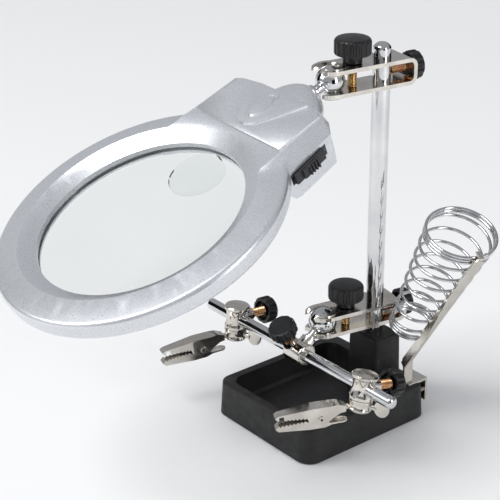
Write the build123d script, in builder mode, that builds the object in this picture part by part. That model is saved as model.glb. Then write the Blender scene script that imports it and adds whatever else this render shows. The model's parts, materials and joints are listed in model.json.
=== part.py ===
"""Bench stand with a lighted magnifier and two clip arms, for holding small circuit boards.

The frame has its origin at the middle of the base, on the surface that it stands on.
X runs along the crossbar, Y to the rear, where the post stands, and Z up. Millimetres.
"""
import os
from math import cos, pi, radians, sin, sqrt, tan

from build123d import *

# ---------------------------------------------------------------- driving dimensions
# base casting
base_w, base_l, base_h = 82.0, 92.0, 20.8
base_corner, base_draft = 9.0, 3.5
pad_show, pad_sunk, pad_margin = 0.6, 0.6, 3.5
tray_w, tray_l, tray_depth, tray_y = 68.5, 77.0, 14.0, -1.0
tray_corner, tray_draft, tray_fillet = 8.0, 9.0, 2.5
pedestal_w, pedestal_l, pedestal_top = 26.0, 20.4, 46.0
pedestal_y, pedestal_corner, pedestal_draft = 33.2, 3.0, 1.5

# post
post_x, post_y, post_r = 8.06, 32.26, 5.0
post_top, post_foot, post_dome = 216.9, 14.0, 3.8
post_screw_r, post_screw_head_r, post_screw_head = 2.5, 4.3, 3.0

# fits between pieces
bore_gap, free_gap = 0.05, 0.3

# the two clamps on the post, bent from strap: mid height, heading from the front towards -X
strap_t, strap_half_w, strap_corner = 2.2, 9.8, 4.6
seat_lip_r, seat_lip, seat_hole_r, notch_w = 8.6, 1.0, 5.2, 10.4
ball_r = 8.0
upper = dict(z=201.3, turn=8.9, height=14.9, back=16.5, knob=18.8, ball=32.7)
lower = dict(z=59.9, turn=10.7, height=12.5, back=15.5, knob=19.3, ball=34.3)

# black moulded knobs and their screws
knob_r, knob_h, knob_hub_r, knob_hub = 10.0, 9.5, 5.2, 4.5
knob_flutes, knob_flute_r = 20, 0.95
lobe_knob_r, lobe_knob_h, lobes, lobe_cut_r = 8.0, 6.6, 12, 1.5
screw_r = 2.6
nut_r, nut_h = 3.6, 1.6

# magnifier: tilt below level, heading from the front towards -X, roll about its own stem
head_tilt, head_turn, head_roll = 24.4, 3.9, 1.1
head_reach, head_rise = 127.7, 6.1
lens_open_r, lens_r, ridge_r, ridge_z = 55.7, 58.0, 64.0, 5.0
rim_r, parting_z, ring_bottom_z, ring_bottom_r = 78.2, -4.2, -8.8, 74.4
lens_seat_z, box_front = -6.4, ((56.0, -8.8), (61.0, -16.8), (64.0, -18.0))
shell_t = 2.0
side_front, side_rear = (51.0, 40.0), (44.0, 93.0)
panel_half_w, panel_front, panel_step = 37.0, 66.6, 0.8
box_bottom_z = -18.0
tail_end = 115.0
bifocal_x, bifocal_y, bifocal_r = -7.0, 39.5, 15.0
cell_r, cell_l = 5.2, 44.0

# crossbar, its collar and ball
bar_r, bar_left, bar_right = 3.5, -79.0, 77.5
bar_y, bar_z = -18.75, 46.5
collar_x, stem_lean, stem_reach = 1.69, 37.74, 21.89
collar_r, collar_l = 6.6, 14.0
collar_knob_x, collar_knob_swing = -4.2, 81.2

# swivel joints on the crossbar, right (+X) and left, and the clips that they hold
joint_cap_r, joint_cap_t, joint_top = 7.5, 2.0, 8.0
joint_r, joint_waist_r, joint_split, joint_bottom = 6.8, 6.0, -6.1, -13.6
joint_boss_r, joint_boss_y, pocket_r = 3.9, 10.4, 5.1
joint_screw_end, joint_knob_y = 4.0, 19.0
tail_r, ring_centre = 1.6, -9.8
sides = {
    "right": dict(x=54.0, lean=13.0, clip_turn=30.0, clip_drop=5.0, wing_turn=25.0),
    "left": dict(x=-54.0, lean=5.0, clip_turn=17.0, clip_drop=5.0, wing_turn=22.0),
}
clip_sheet, clip_w, clip_tip_w, jaw_w = 0.8, 7.8, 5.6, 5.4
clip_pivot = (21.8, -3.4)
teeth, tooth_h = 8, 0.9

# soldering iron holder
wire_r = 0.9
coil_bottom, coil_bottom_r = (32.2, 37.6, 56.7), 11.8
coil_top, coil_top_r = (62.4, 43.0, 122.8), 20.5
ring_normal = (0.351, -0.123, 0.928)
close_turns, open_turns, steps_per_turn = 2.5, 7, 10
strip_foot, strip_head = (34.2, 33.4, 38.3), (80.4, 36.8, 115.0)
strip_w, strip_t, strip_out = 6.4, 1.4, (0.825, -0.306, -0.475)
saddle_left, saddle_right = 25.0, 37.6
holder_screw_x, holder_screw_z = 34.0, 13.5

BASE_UP = (Align.CENTER, Align.CENTER, Align.MIN)
os.makedirs("parts", exist_ok=True)


# ---------------------------------------------------------------- helpers
def save(part, label, frame=Plane.XY):
    """Set a finished piece in its place on the object and write it."""
    placed = part.moved(frame.location)
    placed.label = label
    export_step(placed, f"parts/{label}.step")
    return placed


def spot(frame, x=0.0, y=0.0, z=0.0, normal=(0, 0, 1), across=(1, 0, 0)):
    """A plane at a place of another frame; normal and across are in that frame's axes."""
    def turned(v):
        return frame.x_dir * v[0] + frame.y_dir * v[1] + frame.z_dir * v[2]

    return Plane(origin=frame.from_local_coords(Vector(x, y, z)),
                 x_dir=turned(across), z_dir=turned(normal))


def heading(origin, turn, drop=0.0):
    """A frame whose x axis points to the front, turned towards -X and dropped below level."""
    t, d = radians(turn), radians(drop)
    return Plane(origin=origin,
                 x_dir=(-sin(t) * cos(d), -cos(t) * cos(d), -sin(d)),
                 z_dir=(-sin(t) * sin(d), -cos(t) * sin(d), cos(d)))


# ---------------------------------------------------------------- base and post
def base_casting():
    floor = base_h - tray_depth
    with BuildPart() as base:
        with BuildSketch(Plane.XY.offset(pad_show)):
            RectangleRounded(base_w, base_l, base_corner)
        extrude(amount=base_h - pad_show, taper=base_draft)
        fillet(base.faces().sort_by(Axis.Z)[-1].edges(), 1.2)
        with BuildSketch(Plane.XY.offset(base_h)):
            with Locations((0, tray_y)):
                RectangleRounded(tray_w, tray_l, tray_corner)
        extrude(amount=-tray_depth, taper=tray_draft, mode=Mode.SUBTRACT)
        floor_face = base.faces().filter_by(Axis.Z).filter_by(
            lambda f: abs(f.center().Z - floor) < 0.01)[0]
        fillet(floor_face.edges(), tray_fillet)
        with BuildSketch(Plane.XY.offset(floor - 1)):
            with Locations((post_x, pedestal_y)):
                RectangleRounded(pedestal_w, pedestal_l, pedestal_corner)
        extrude(amount=pedestal_top - floor + 1, taper=pedestal_draft)
        fillet(base.faces().sort_by(Axis.Z)[-1].edges(), 1.0)
        with Locations((post_x, post_y, post_foot)):
            Cylinder(post_r, pedestal_top, align=BASE_UP, mode=Mode.SUBTRACT)
        with Locations((post_x, post_y, 0)):
            Cylinder(post_screw_r, pedestal_top, align=BASE_UP, mode=Mode.SUBTRACT)
            Cylinder(post_screw_head_r + free_gap, pad_show + post_screw_head + 0.4,
                     align=BASE_UP, mode=Mode.SUBTRACT)
        with BuildSketch():
            RectangleRounded(base_w - 2 * pad_margin, base_l - 2 * pad_margin, base_corner - 3)
        extrude(amount=pad_show + pad_sunk, mode=Mode.SUBTRACT)
        with Locations(Plane(origin=(holder_screw_x, base_l / 2, holder_screw_z),
                             z_dir=(0, 1, 0))):
            Cylinder(1.9, 16, mode=Mode.SUBTRACT)
    return base.part


def base_pad():
    """Rubber sheet under the base, with a hole at the post's screw."""
    with BuildPart() as pad:
        with BuildSketch():
            RectangleRounded(base_w - 2 * pad_margin, base_l - 2 * pad_margin, base_corner - 3)
            with Locations((post_x, post_y)):
                Circle(post_screw_head_r + free_gap, mode=Mode.SUBTRACT)
        extrude(amount=pad_show + pad_sunk)
    return pad.part


def post():
    with BuildPart() as rod:
        with Locations((post_x, post_y, post_foot)):
            Cylinder(post_r, post_top - post_foot, align=BASE_UP)
            fillet(rod.edges().sort_by(Axis.Z)[-1], post_dome)
            Cylinder(post_screw_r, 14, align=BASE_UP, mode=Mode.SUBTRACT)
    return rod.part


def post_screw():
    with BuildPart() as screw:
        with Locations((post_x, post_y, pad_show + 0.4)):
            Cylinder(post_screw_head_r, post_screw_head, align=BASE_UP)
            Cylinder(post_screw_r, post_screw_head + 22, align=BASE_UP)
            Cylinder(1.5, 1.6, align=BASE_UP, mode=Mode.SUBTRACT)
    return screw.part


save(base_casting(), "base_casting")
save(base_pad(), "base_pad")
save(post(), "post")
save(post_screw(), "post_screw")


# ---------------------------------------------------------------- knobs and screws
def fluted_knob():
    """Round knob with a fluted rim on a narrower hub; z runs from the hub to the head."""
    with BuildPart() as knob:
        with Locations((0, 0, knob_hub)):
            Cylinder(knob_r, knob_h, align=BASE_UP)
        fillet(knob.edges().sort_by(Axis.Z)[-1], 2.4)
        fillet(knob.edges().sort_by(Axis.Z)[0], 1.0)
        with BuildSketch(Plane.XY.offset(knob_hub)):
            with PolarLocations(knob_r + 0.25, knob_flutes):
                Circle(knob_flute_r)
        extrude(amount=knob_h, mode=Mode.SUBTRACT)
        Cylinder(knob_hub_r, knob_hub + 1, align=BASE_UP)
        Cylinder(screw_r, knob_hub + 3, align=BASE_UP, mode=Mode.SUBTRACT)
    return knob.part


def lobed_knob():
    """Small lobed knob with a ring recess round its hub; z = 0 is the face on the screw's side."""
    with BuildPart() as knob:
        Cylinder(lobe_knob_r, lobe_knob_h, align=BASE_UP)
        fillet(knob.edges().filter_by(GeomType.CIRCLE), 1.1)
        with BuildSketch():
            with PolarLocations(lobe_knob_r + 0.6, lobes):
                Circle(lobe_cut_r)
        extrude(amount=lobe_knob_h, mode=Mode.SUBTRACT)
        with BuildSketch():
            Circle(lobe_knob_r - 2.2)
            Circle(screw_r + 1.3, mode=Mode.SUBTRACT)
        extrude(amount=lobe_knob_h - 2.6, mode=Mode.SUBTRACT)
        Cylinder(screw_r, lobe_knob_h - 1.6, align=BASE_UP, mode=Mode.SUBTRACT)
    return knob.part


def plain_screw(length, into_knob):
    """Threaded screw: z = 0 is where it leaves the knob and it runs down to -length."""
    with BuildPart() as screw:
        with Locations((0, 0, -length)):
            Cylinder(screw_r, length + into_knob, align=BASE_UP)
        chamfer(screw.edges().sort_by(Axis.Z)[0], 0.5)
    return screw.part


# ---------------------------------------------------------------- clamps on the post
def clamp_strap(height, back, knob, ball):
    """Strap bent to a U round the post; x points to the ball, and z = 0 is mid height."""
    length = back + ball + 2 * strap_half_w
    middle = length / 2 - back
    with BuildPart() as strap:
        with BuildSketch(Plane.XZ):
            with Locations((middle, 0)):
                RectangleRounded(length, height, strap_corner)
        extrude(amount=strap_half_w, both=True)
        with BuildSketch():
            with Locations(((ball - back) / 2, 0)):
                Rectangle(ball + back, 2 * strap_half_w)
            with Locations((ball, 0)):
                Circle(strap_half_w)
        extrude(amount=height, both=True, mode=Mode.INTERSECT)
        with Locations((ball, 0)):
            Cylinder(seat_lip_r, height + 2 * seat_lip)
        fillet(strap.edges().filter_by(GeomType.CIRCLE).group_by(Axis.Z)[0], 0.7)
        fillet(strap.edges().filter_by(GeomType.CIRCLE).group_by(Axis.Z)[-1], 0.7)
        with BuildSketch(Plane.XZ):
            with Locations((middle, 0)):
                RectangleRounded(length - 2 * strap_t, height - 2 * strap_t,
                                 strap_corner - strap_t)
        extrude(amount=2 * strap_half_w, both=True, mode=Mode.SUBTRACT)
        with Locations((ball, 0)):
            Sphere(ball_r + free_gap, mode=Mode.SUBTRACT)
            Cylinder(seat_hole_r, 2 * height, mode=Mode.SUBTRACT)
        with Locations((ball + strap_half_w, 0)):
            Box(2 * strap_half_w, notch_w, 2 * height, mode=Mode.SUBTRACT)
        Cylinder(post_r + bore_gap, 2 * height, mode=Mode.SUBTRACT)
        with Locations((knob, 0)):
            Cylinder(screw_r + bore_gap, 2 * height, mode=Mode.SUBTRACT)
        with Locations((-back, 0)):
            Cylinder(screw_r + bore_gap, 4 * strap_t, rotation=(0, 90, 0), mode=Mode.SUBTRACT)
    return strap.part


def clamp_nut():
    """Flanged rivet nut in the lower plate's outer face; z = 0 is that face."""
    with BuildPart() as nut:
        with Locations((0, 0, -nut_h)):
            Cylinder(nut_r, nut_h, align=BASE_UP)
        chamfer(nut.edges().sort_by(Axis.Z)[0], 0.4)
        Cylinder(screw_r + bore_gap, 4 * nut_h, mode=Mode.SUBTRACT)
    return nut.part


def clamp(name, z, turn, height, back, knob, ball):
    """One clamp with its two knobs; returns its frame, at the post's axis and mid height."""
    frame = heading((post_x, post_y, z), turn)
    save(clamp_strap(height, back, knob, ball), f"{name}_clamp_strap", frame)
    save(clamp_nut(), f"{name}_clamp_nut", spot(frame, x=knob, z=-height / 2))
    top = spot(frame, x=knob, z=height / 2 + free_gap)
    save(fluted_knob(), f"{name}_clamp_knob", top)
    save(plain_screw(height + nut_h + 2 * free_gap, knob_hub), f"{name}_clamp_screw", top)
    rear = spot(frame, x=-back - free_gap, normal=(-1, 0, 0), across=(0, 1, 0))
    save(lobed_knob(), f"{name}_post_knob", rear)
    save(plain_screw(back - post_r, lobe_knob_h - 2.6), f"{name}_post_screw", rear)
    return frame


upper_frame = clamp("upper", **upper)
lower_frame = clamp("lower", **lower)
upper_ball = upper_frame.from_local_coords(Vector(upper["ball"], 0, 0))
lower_ball = lower_frame.from_local_coords(Vector(lower["ball"], 0, 0))

# ---------------------------------------------------------------- magnifier frame
level = heading(upper_ball, head_turn, head_tilt)
roll = radians(head_roll)
head_normal = level.z_dir * cos(roll) + level.y_dir * sin(roll)
head = Plane(origin=upper_ball + level.x_dir * head_reach + head_normal * head_rise,
             x_dir=head_normal.cross(level.x_dir), z_dir=head_normal)
stem = Plane(origin=upper_ball, x_dir=head.x_dir, z_dir=level.x_dir)


def magnifier_ball_stud():
    """Ball on a necked stud; z runs from the ball's middle into the magnifier's tail."""
    with BuildPart() as stud:
        Sphere(ball_r)
        Cylinder(3.0, 11, align=BASE_UP)
        with Locations((0, 0, 9.6)):
            Cone(3.0, 4.6, 1.4, align=BASE_UP)
        with Locations((0, 0, 11)):
            Cylinder(4.6, 1.4, align=BASE_UP)
        with Locations((0, 0, 12.3)):
            Cylinder(2.5, 16, align=BASE_UP)
    return stud.part


def stud_nut():
    """Lock nut on the stud's inner end, inside the tail."""
    with BuildPart() as nut:
        with BuildSketch(Plane.XY.offset(24.2)):
            RegularPolygon(4.4, 6)
            Circle(2.5, mode=Mode.SUBTRACT)
        extrude(amount=3.0)
    return nut.part


save(magnifier_ball_stud(), "magnifier_ball_stud", stem)
save(stud_nut(), "stud_nut", stem)


# ---------------------------------------------------------------- magnifier shells
stud_bore_r = 2.5 + bore_gap
switch_slot_l, switch_slot_h = 26.0, 6.6
wall_lean = (side_front[0] - side_rear[0]) / (side_rear[1] - side_front[1])
switch_wall = Plane(origin=(side_front[0] - wall_lean * (75 - side_front[1]) - 0.3, 75, -5.6),
                    x_dir=(-wall_lean, 1, 0), z_dir=(1, wall_lean, 0))


def housing_outline(inset=0.0):
    """Corner points of the housing's plan, behind the lens ring."""
    half = [(side_front[0], side_front[1]), (side_rear[0], side_rear[1]),
            (36.0, 98.6), (20.0, 101.0)]
    right = [(x - inset, y - (inset if y > side_front[1] else 0)) for x, y in half]
    return right + [(-x, y) for x, y in reversed(right)]


def tail_solid(spread=0.0):
    """Oval tail that the stud screws into, as one loft; spread makes it thinner all round."""
    stations = ((92.0, 19.5, 10.6), (103.0, 19.2, 10.4), (108.5, 16.4, 9.4),
                (112.6, 11.4, 7.8), (tail_end - spread, 6.6, 5.4))
    with BuildPart() as tail:
        for y, half_w, half_h in stations:
            with BuildSketch(Plane(origin=(0, y, -head_rise), x_dir=(-1, 0, 0),
                                   z_dir=(0, 1, 0))):
                Ellipse(half_w - spread, half_h - spread)
        loft()
    return tail.part


def magnifier_top_shell():
    with BuildPart() as shell:
        # bezel ring
        with BuildSketch(Plane.XZ):
            with BuildLine():
                Polyline((lens_open_r, 0), (ridge_r, ridge_z), (75.8, 2.6))
                ThreePointArc((75.8, 2.6), (77.6, 1.6), (rim_r, -0.6))
                Polyline((rim_r, -0.6), (rim_r - 0.4, parting_z), (rim_r - 2.4, parting_z),
                         (rim_r - 2.4, -0.6), (ridge_r + 2, ridge_z - 2.6),
                         (lens_r + 0.6, 0.0), (lens_r + 0.6, -2.6), (lens_open_r, -2.6),
                         (lens_open_r, 0))
            make_face()
        revolve(axis=Axis.Z)
        # housing: straight wall, then a slope up to the flat top
        with BuildSketch(Plane.XY.offset(parting_z)):
            with BuildLine():
                Polyline(*housing_outline(inset=0.8), close=True)
            make_face()
        with BuildSketch(Plane.XY):
            with BuildLine():
                Polyline(*housing_outline(), close=True)
            make_face()
        loft()
        with BuildSketch(Plane.XY):
            with BuildLine():
                Polyline(*housing_outline(), close=True)
            make_face()
        with BuildSketch(Plane.XY.offset(ridge_z + 0.8)):
            with BuildLine():
                Polyline((39, 40), (37.4, 95.5), (33, 97.6), (18, 99.6),
                         (-18, 99.6), (-33, 97.6), (-37.4, 95.5), (-39, 40), close=True)
            make_face()
        loft()
        # raised panel, then the round-nosed plateau on it
        with BuildSketch(Plane.XY.offset(ridge_z + 0.8)):
            with BuildLine():
                Polyline((panel_half_w, panel_front), (36.2, 95.0), (32.4, 97.0), (17.8, 98.9),
                         (-17.8, 98.9), (-32.4, 97.0), (-36.2, 95.0),
                         (-panel_half_w, panel_front), close=True)
            make_face()
        extrude(amount=panel_step, taper=30)
        with BuildSketch(Plane.XY.offset(ridge_z + 0.8 + panel_step)):
            with BuildLine():
                nose = ThreePointArc((-8.6, 75.2), (0, 70.8), (8.6, 75.2))
                Polyline(nose @ 1, (23.5, 97.6), (17.6, 98.4), (-17.6, 98.4),
                         (-23.5, 97.6), nose @ 0)
            make_face()
        extrude(amount=panel_step, taper=35)
        with BuildSketch(Plane.XY.offset(ridge_z + 0.8 + 2 * panel_step)):
            with Locations((0, 85)):
                Ellipse(5.2, 8.6)
        extrude(amount=0.9, taper=40)
        with BuildSketch(Plane.XY.offset(ridge_z + 0.8 + 2 * panel_step)):
            with Locations((0, 92.4)):
                Ellipse(3.6, 3.4)
            with Locations((0, 91.0)):
                Ellipse(4.4, 3.4, mode=Mode.SUBTRACT)
        extrude(amount=0.6)
        add(tail_solid())
        with Locations((0, 0, parting_z - 20)):
            Box(300, 300, 20, align=BASE_UP, mode=Mode.SUBTRACT)
        # opening with its sloping bezel
        with BuildSketch(Plane.XZ):
            with BuildLine():
                Polyline((0, -3), (lens_open_r, -3), (lens_open_r, 0),
                         (ridge_r + 5 * (ridge_r - lens_open_r) / ridge_z, 2 * ridge_z),
                         (0, 2 * ridge_z), close=True)
            make_face()
        revolve(axis=Axis.Z, mode=Mode.SUBTRACT)
        # hollow for the lens, the batteries and the switch
        with BuildSketch(Plane.XY.offset(parting_z)):
            Circle(lens_r + 0.6)
        extrude(amount=-parting_z - 2.6, mode=Mode.SUBTRACT)
        with BuildSketch(Plane.XY.offset(parting_z)):
            with BuildLine():
                Polyline((36, 61), (38, 90), (30, 94), (-30, 94), (-38, 90), (-36, 61),
                         close=True)
            make_face()
        extrude(amount=-parting_z + 3.0, mode=Mode.SUBTRACT)
        with Locations(switch_wall):
            Box(switch_slot_l, switch_slot_h, 12, mode=Mode.SUBTRACT)
        with Locations(Plane(origin=(0, 98, -head_rise), z_dir=(0, 1, 0))):
            Cylinder(stud_bore_r, 40, mode=Mode.SUBTRACT)
            Cylinder(5.4, 12.6, mode=Mode.SUBTRACT)
    return shell.part


def magnifier_bottom_shell():
    with BuildPart() as shell:
        with BuildSketch(Plane.XZ):
            with BuildLine():
                edge = Line((rim_r - 0.4, parting_z), (rim_r - 0.8, -5.4))
                under = ThreePointArc(edge @ 1, (76.6, -7.7), (ring_bottom_r, ring_bottom_z))
                Polyline(under @ 1, (61, ring_bottom_z), (56.0, ring_bottom_z + 0.9),
                         (56.0, lens_seat_z), (58.4, lens_seat_z), (59.2, parting_z - 0.8),
                         (60.8, parting_z - 0.8), (60.8, ring_bottom_z + 1.8),
                         (73.0, ring_bottom_z + 1.8), (75.6, -5.8), (76.0, parting_z), edge @ 0)
            make_face()
        revolve(axis=Axis.Z)
        # battery box: the plan of the housing, cut to its side view
        with BuildSketch(Plane.XY.offset(parting_z)):
            with BuildLine():
                Polyline(*housing_outline(inset=0.8), close=True)
            make_face()
        extrude(amount=-14, taper=5)
        add(tail_solid())
        with BuildSketch(Plane.YZ):
            with BuildLine():
                Polyline((-100, parting_z), (-100, ring_bottom_z), *box_front,
                         (92, box_bottom_z), (101, -14.5), (120, -14.5), (120, parting_z),
                         close=True)
            make_face()
        extrude(amount=100, both=True, mode=Mode.INTERSECT)
        with Locations((0, 0, lens_seat_z)):
            Cylinder(lens_r + 0.4, 20, align=BASE_UP, mode=Mode.SUBTRACT)
        with Locations((0, 0, -40)):
            Cylinder(56.0, 60, align=BASE_UP, mode=Mode.SUBTRACT)
        # battery room, open below for its door
        with BuildSketch(Plane.XY.offset(parting_z)):
            with BuildLine():
                Polyline((35, 62), (36.5, 88), (30, 93.5), (-30, 93.5), (-36.5, 88),
                         (-35, 62), close=True)
            make_face()
        extrude(amount=box_bottom_z - parting_z + 2.0, mode=Mode.SUBTRACT)
        with Locations((0, 80.5, box_bottom_z)):
            Box(door_w, door_l, 8, mode=Mode.SUBTRACT)
        with Locations((led_x, led_y, -20), (-led_x, led_y, -20)):
            Cylinder(2.55, 20, align=BASE_UP, mode=Mode.SUBTRACT)
        with Locations(*[(x, y, -30) for x, y in shell_screw_spots]):
            Cylinder(1.5, 30, align=BASE_UP, mode=Mode.SUBTRACT)
            Cylinder(2.7, 30 + ring_bottom_z + 1.35, align=BASE_UP, mode=Mode.SUBTRACT)
        with Locations(switch_wall):
            Box(switch_slot_l, switch_slot_h, 12, mode=Mode.SUBTRACT)
        with Locations(Plane(origin=(0, 98, -head_rise), z_dir=(0, 1, 0))):
            Cylinder(stud_bore_r, 40, mode=Mode.SUBTRACT)
            Cylinder(5.4, 12.6, mode=Mode.SUBTRACT)
    return shell.part


def on_dome(x, top, drop):
    """Height at x of a dome centred on the axis, which falls by drop out to the lens's rim."""
    radius = (lens_r ** 2 + drop ** 2) / (2 * drop)
    return top - radius + sqrt(radius ** 2 - x ** 2)


lens_top, lens_top_drop, lens_under, lens_under_drop = -1.4, 2.0, -9.8, 4.0


def main_lens():
    with BuildPart() as lens:
        with BuildSketch(Plane.XZ):
            with BuildLine():
                rise = ThreePointArc(*[(x, on_dome(x, lens_top, lens_top_drop))
                                       for x in (0, lens_r / 2, lens_r)])
                fall = ThreePointArc(*[(x, -on_dome(x, -lens_under, lens_under_drop))
                                       for x in (lens_r, lens_r / 2, 0)])
                Line(rise @ 1, fall @ 0)
                Line(fall @ 1, rise @ 0)
            make_face()
        revolve(axis=Axis.Z)
    return lens.part


def bifocal_lens():
    """Small strong lens bonded under the main lens."""
    with BuildPart() as lens:
        with Locations((bifocal_x, bifocal_y, -11.6)):
            Cylinder(bifocal_r, 5.6, align=BASE_UP)
        fillet(lens.edges().sort_by(Axis.Z)[0], 1.6)
        with BuildSketch(Plane.XZ):
            with BuildLine():
                fall = ThreePointArc(*[(x, -on_dome(x, -lens_under, lens_under_drop))
                                       for x in (lens_r, lens_r / 2, 0)])
                Polyline(fall @ 1, (0, 0), (lens_r, 0), fall @ 0)
            make_face()
        revolve(axis=Axis.Z, mode=Mode.SUBTRACT)
    return lens.part


def battery_door():
    with BuildPart() as door:
        with Locations((0, 80.5, box_bottom_z)):
            Box(door_w - 0.4, door_l - 0.4, 2.0, align=BASE_UP)
        with Locations(*[(0, 80.5 + 2.4 * k, box_bottom_z) for k in range(-2, 3)]):
            Box(14, 0.8, 0.6, mode=Mode.SUBTRACT)
        with Locations((20, 80.5, box_bottom_z)):
            Cylinder(1.3, 9, mode=Mode.SUBTRACT)
            Cylinder(2.3, 1.3, align=BASE_UP, mode=Mode.SUBTRACT)
    return door.part


def countersunk_screws(places, length, head_r):
    """Small screws with their heads at z = 0 in each place, pointing up."""
    with BuildPart() as screws:
        with Locations(*places):
            Cylinder(head_r, 1.2, align=BASE_UP)
            Cylinder(1.25, length, align=BASE_UP)
            Box(head_r * 1.5, 0.6, 1.0, mode=Mode.SUBTRACT)
            Box(0.6, head_r * 1.5, 1.0, mode=Mode.SUBTRACT)
    return screws.part


def batteries():
    with BuildPart() as cells:
        for y, way in ((72.2, 1), (84.6, -1)):
            with Locations(Plane(origin=(0, y, cell_z), z_dir=(way, 0, 0))):
                Cylinder(cell_r, cell_l)
            with Locations(Plane(origin=(way * cell_l / 2, y, cell_z), z_dir=(way, 0, 0))):
                Cylinder(1.9, 1.0, align=BASE_UP)
    return cells.part


def battery_contacts():
    """Sprung plates at the ends of the cells."""
    with BuildPart() as plates:
        with Locations((-cell_l / 2 - 3.2, 78.4, cell_z), (cell_l / 2 + 3.2, 78.4, cell_z)):
            Box(0.5, 22, 8)
        for y, way in ((72.2, -1), (84.6, 1)):
            with Locations(Plane(origin=(way * (cell_l / 2 + 2.95), y, cell_z),
                                 z_dir=(-way, 0, 0))):
                Cone(3.0, 1.6, 2.9, align=BASE_UP)
    return plates.part


def light_leds():
    with BuildPart() as leds:
        with Locations((led_x, led_y, 0), (-led_x, led_y, 0)):
            with Locations((0, 0, -15.6)):
                Cylinder(2.5, 6.6, align=BASE_UP)
            with Locations((0, 0, -15.6)):
                Sphere(2.5)
    return leds.part


def led_board():
    """Board under the housing's top that carries the lamps and the switch body."""
    with BuildPart() as board:
        with Locations((0, 66, -0.6)):
            Box(62, 8, 1.2)
        with Locations((led_x, led_y + 1.2, -8.9), (-led_x, led_y + 1.2, -8.9)):
            Box(2.2, 3, 7.7, align=(Align.CENTER, Align.MIN, Align.MIN))
        with Locations((32.0, 78, -1.2)):
            Box(5, 16, 2.4)
    return board.part


def light_switch():
    """Slider in the housing's side wall: z points out of the wall and x along it."""
    with BuildPart() as slider:
        Box(switch_slot_l - 4.6, switch_slot_h - 2 * free_gap, 2.2, align=BASE_UP)
        with Locations((-0.6, 0, 2.2)):
            Box(11.0, switch_slot_h - 1.4, 1.4, align=BASE_UP)
        with Locations((0.9, 0, 3.6)):
            with GridLocations(2.0, 1, 4, 1):
                Box(0.9, switch_slot_h - 1.4, 1.0, align=BASE_UP)
        with Locations((0, 0, -5.0)):
            Box(8, 4.4, 5.0, align=BASE_UP)
    return slider.part


door_w, door_l = 56.0, 23.0
led_x, led_y = 13.0, 61.8
cell_z = -9.6
shell_screw_spots = [(68.0 * cos(radians(a)), 68.0 * sin(radians(a)))
                     for a in (-150, -90, -30, 25, 155)]
save(magnifier_top_shell(), "magnifier_top_shell", head)
save(magnifier_bottom_shell(), "magnifier_bottom_shell", head)
save(main_lens(), "main_lens", head)
save(bifocal_lens(), "bifocal_lens", head)
save(battery_door(), "battery_door", head)
save(countersunk_screws([(20, 80.5, box_bottom_z)], 3.0, 2.2), "battery_door_screw", head)
save(countersunk_screws([(x, y, ring_bottom_z + 0.1) for x, y in shell_screw_spots], 6.0, 2.5), "shell_screws", head)
save(batteries(), "batteries", head)
save(battery_contacts(), "battery_contacts", head)
save(light_leds(), "light_leds", head)
save(led_board(), "led_board", head)
switch = spot(head, x=switch_wall.origin.X - 0.6, y=switch_wall.origin.Y - 1.0,
              z=switch_wall.origin.Z, normal=(1, wall_lean, 0), across=(-wall_lean, 1, 0))
save(light_switch(), "light_switch", switch)


# ---------------------------------------------------------------- crossbar and its collar
collar = Plane(origin=(collar_x, bar_y, bar_z), x_dir=(1, 0, 0),
               z_dir=(0, cos(radians(stem_lean)), sin(radians(stem_lean))))
knob_way = (0, -sin(radians(collar_knob_swing)), cos(radians(collar_knob_swing)))
collar_knob = spot(collar, x=collar_knob_x, normal=knob_way)


def crossbar():
    with BuildPart() as bar:
        with Locations(Plane(origin=(bar_left, bar_y, bar_z), z_dir=(1, 0, 0))):
            Cylinder(bar_r, bar_right - bar_left, align=BASE_UP)
        fillet(bar.edges().filter_by(GeomType.CIRCLE), 2.2)
    return bar.part


def bar_collar():
    """Sleeve round the bar with a boss for the ball's stem, z, and one for the knob's screw."""
    with BuildPart() as sleeve:
        Cylinder(collar_r, collar_l, rotation=(0, 90, 0))
        fillet(sleeve.edges().filter_by(GeomType.CIRCLE), 1.2)
        Cylinder(4.4, 9.2, align=BASE_UP)
        with Locations(Plane(origin=(collar_knob_x, 0, 0), x_dir=(1, 0, 0), z_dir=knob_way)):
            Cylinder(4.4, 9.4, align=BASE_UP)
            Cylinder(screw_r + bore_gap, 12, align=BASE_UP, mode=Mode.SUBTRACT)
        Cylinder(bar_r + bore_gap, 4 * collar_l, rotation=(0, 90, 0), mode=Mode.SUBTRACT)
        with Locations((0, 0, bar_r + 1.5)):
            Cylinder(2.5, 12, align=BASE_UP, mode=Mode.SUBTRACT)
    return sleeve.part


def collar_ball_stud():
    with BuildPart() as stud:
        with Locations((0, 0, stem_reach)):
            Sphere(ball_r)
        with Locations((0, 0, bar_r + 1.5)):
            Cylinder(2.5, 12, align=BASE_UP)
        with Locations((0, 0, 9.2)):
            Cylinder(3.2, 1.5, align=BASE_UP)
            Cylinder(2.4, 8, align=BASE_UP)
    return stud.part


save(crossbar(), "crossbar")
save(bar_collar(), "bar_collar", collar)
save(collar_ball_stud(), "collar_ball_stud", collar)
collar_screw_l = 14.0 - bar_r - free_gap
save(plain_screw(collar_screw_l, 4.0), "collar_screw", spot(collar_knob, z=14.0))
save(lobed_knob(), "collar_knob", spot(collar_knob, z=14.0))


# ---------------------------------------------------------------- swivel joints
def pocket_plane(turn, height):
    """Plane for a pocket sunk into the side of a joint, turned from +x."""
    t = radians(turn)
    return Plane(origin=(pocket_r * cos(t), pocket_r * sin(t), height), x_dir=(-sin(t), cos(t), 0),
                 z_dir=(cos(t), sin(t), 0))


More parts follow.
